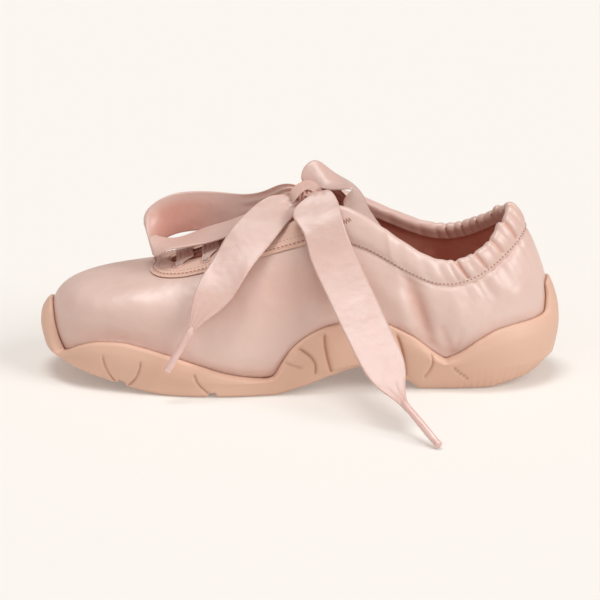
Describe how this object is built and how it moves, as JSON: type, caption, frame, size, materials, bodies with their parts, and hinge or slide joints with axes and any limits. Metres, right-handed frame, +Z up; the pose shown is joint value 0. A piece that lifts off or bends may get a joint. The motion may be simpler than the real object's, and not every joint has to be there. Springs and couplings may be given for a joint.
{
  "type": "ballet sneaker",
  "caption": "Low ballet sneaker: hollow satin upper with gathered collar and open throat, tongue, cupped rubber sole with waved edge, and a flat ribbon lace tied in a bow.",
  "frame": {"origin": "on the floor under the middle of the shoe, its bow, tails and aglets not counted", "axes": "+Z up, toe towards -X, heel towards +X, lateral side towards -Y, medial side towards +Y"},
  "size_m": [0.2651, 0.1726, 0.1093],
  "materials": {
    "rubber": "matte moulded rubber",
    "satin": "soft satin sheen",
    "casing_satin": "gathered satin",
    "matte_cloth": "matte twill",
    "sock_lining": "matte knit lining",
    "tongue_cloth": "matte cloth",
    "lace_cloth": "folded satin ribbon",
    "ribbon": "satin ribbon",
    "aglet": "film over rolled ribbon"
  },
  "bodies": {
    "root": {"sole": "rubber", "upper": "satin", "insole": "sock_lining", "tongue": "tongue_cloth", "eyestay": "matte_cloth", "collar_casing": "casing_satin", "lace_bars": "lace_cloth", "bow_knot": "ribbon", "bow_loop_front": "ribbon", "bow_loop_rear": "ribbon", "ribbon_tail_front": "ribbon", "ribbon_tail_rear": "ribbon", "aglet_front": "aglet", "aglet_rear": "aglet"}
  },
  "joints": []
}
